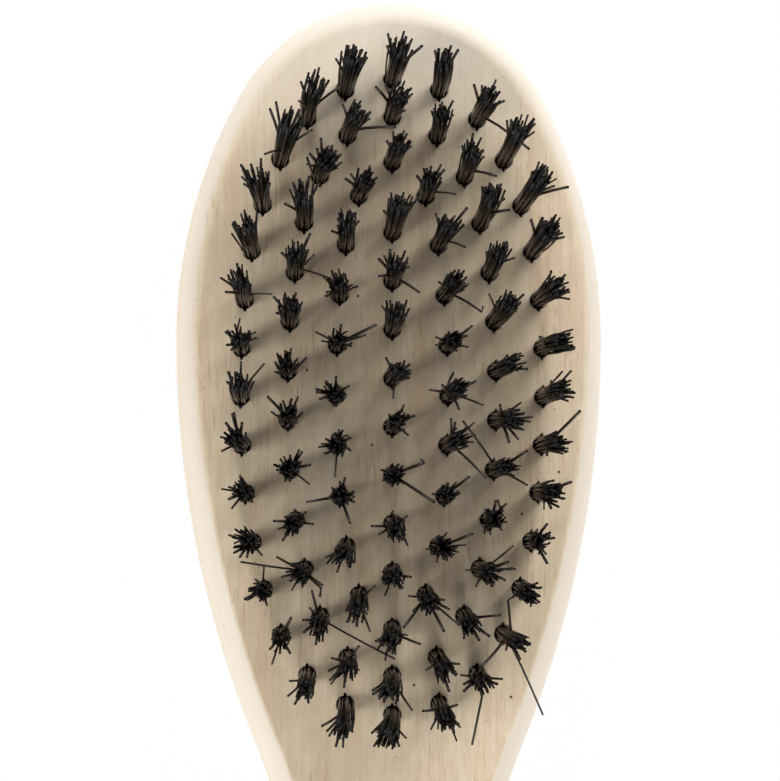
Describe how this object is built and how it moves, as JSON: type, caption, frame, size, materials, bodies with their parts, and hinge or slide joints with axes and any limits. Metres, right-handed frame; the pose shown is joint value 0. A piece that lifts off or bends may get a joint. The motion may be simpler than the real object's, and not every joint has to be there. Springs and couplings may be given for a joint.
{
  "type": "vegetable brush",
  "caption": "Wooden vegetable brush with an oval head, a handle, and rings of stiff dark fibre tufts that fan out from its flat face.",
  "frame": {"origin": "on the flat back, under the middle of the brush's length and width", "axes": "+Y along the brush from the handle to the tip of the head, +Z out of the bristle face, +X to the right when the bristles face the viewer and the handle points down"},
  "size_m": [0.06, 0.215, 0.0302],
  "materials": {
    "wood": "pale unfinished beech, sanded",
    "bristle": "stiff dark plant fibre",
    "anchor": "plain flat steel wire"
  },
  "bodies": {
    "root": {"centre_row_anchors": "anchor", "centre_row_tuft_01": "bristle", "centre_row_tuft_02": "bristle", "centre_row_tuft_03": "bristle", "centre_row_tuft_04": "bristle", "centre_row_tuft_05": "bristle", "centre_row_tuft_06": "bristle", "centre_row_tuft_07": "bristle", "centre_row_tuft_08": "bristle", "outer_ring_anchors": "anchor", "outer_ring_tufts_01": "bristle", "outer_ring_tufts_02": "bristle", "outer_ring_tufts_03": "bristle", "outer_ring_tufts_04": "bristle", "outer_ring_tufts_05": "bristle", "outer_ring_tufts_06": "bristle", "outer_ring_tufts_07": "bristle", "outer_ring_tufts_08": "bristle", "outer_ring_tufts_09": "bristle", "outer_ring_tufts_10": "bristle", "outer_ring_tufts_11": "bristle", "outer_ring_tufts_12": "bristle", "outer_ring_tufts_13": "bristle", "outer_ring_tufts_14": "bristle", "outer_ring_tufts_15": "bristle", "outer_ring_tufts_16": "bristle", "second_ring_anchors": "anchor", "second_ring_tufts_01": "bristle", "second_ring_tufts_02": "bristle", "second_ring_tufts_03": "bristle", "second_ring_tufts_04": "bristle", "second_ring_tufts_05": "bristle", "second_ring_tufts_06": "bristle", "second_ring_tufts_07": "bristle", "second_ring_tufts_08": "bristle", "second_ring_tufts_09": "bristle", "second_ring_tufts_10": "bristle", "second_ring_tufts_11": "bristle", "second_ring_tufts_12": "bristle", "second_ring_tufts_13": "bristle", "third_ring_anchors": "anchor", "third_ring_tufts_01": "bristle", "third_ring_tufts_02": "bristle", "third_ring_tufts_03": "bristle", "third_ring_tufts_04": "bristle", "third_ring_tufts_05": "bristle", "third_ring_tufts_06": "bristle", "third_ring_tufts_07": "bristle", "third_ring_tufts_08": "bristle", "third_ring_tufts_09": "bristle", "third_ring_tufts_10": "bristle", "wooden_body": "wood"}
  },
  "joints": []
}
